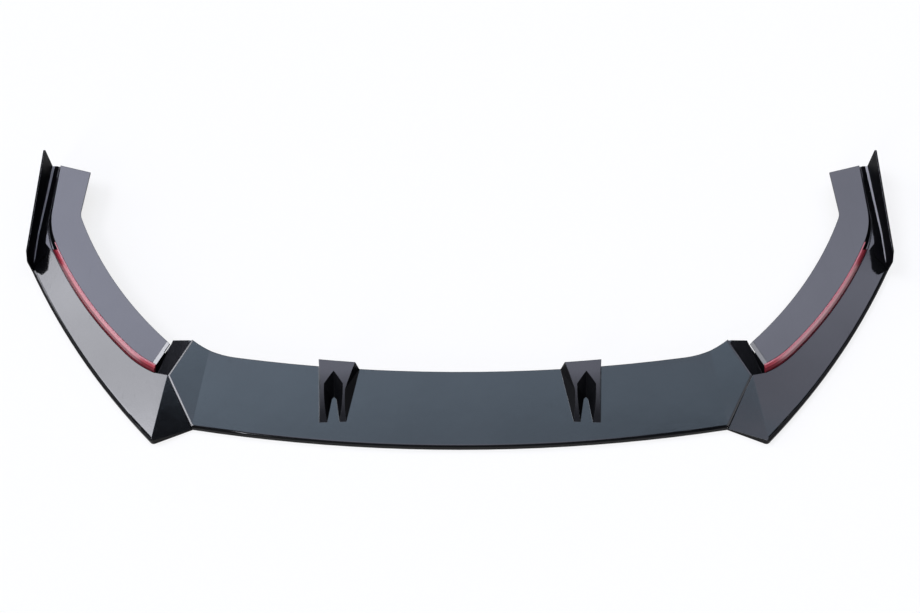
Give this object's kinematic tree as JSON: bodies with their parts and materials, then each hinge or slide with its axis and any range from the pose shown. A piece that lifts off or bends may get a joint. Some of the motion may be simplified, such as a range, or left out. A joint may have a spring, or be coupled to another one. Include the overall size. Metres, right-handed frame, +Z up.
{
  "type": "front splitter lip",
  "caption": "Low front splitter lip for a car bumper: wide centre panel with raised vanes, pointed side blades, raised upper blades with red trim strips, and upright end fins.",
  "frame": {"origin": "middle of the bounding box's floor, on the plane of symmetry", "axes": "+X across the car, -Y towards the front of the car, +Z up"},
  "size_m": [1.76, 0.655, 0.0797],
  "materials": {
    "gloss_black": "gloss",
    "trim_red": "gloss",
    "zinc_steel": "zinc plated"
  },
  "bodies": {
    "root": {"centre_panel": "gloss_black", "side_blade_left": "gloss_black", "upper_blade_left": "gloss_black", "end_fin_left": "gloss_black", "side_blade_right": "gloss_black", "upper_blade_right": "gloss_black", "end_fin_right": "gloss_black", "trim_strip_left": "trim_red", "trim_strip_right": "trim_red", "splice_bolts_left": "zinc_steel", "splice_washers_left": "zinc_steel", "splice_nuts_left": "zinc_steel", "upper_blade_screws_left": "zinc_steel", "fin_screws_left": "zinc_steel", "fin_washers_left": "zinc_steel", "splice_bolts_right": "zinc_steel", "splice_washers_right": "zinc_steel", "splice_nuts_right": "zinc_steel", "upper_blade_screws_right": "zinc_steel", "fin_screws_right": "zinc_steel", "fin_washers_right": "zinc_steel"}
  },
  "joints": []
}
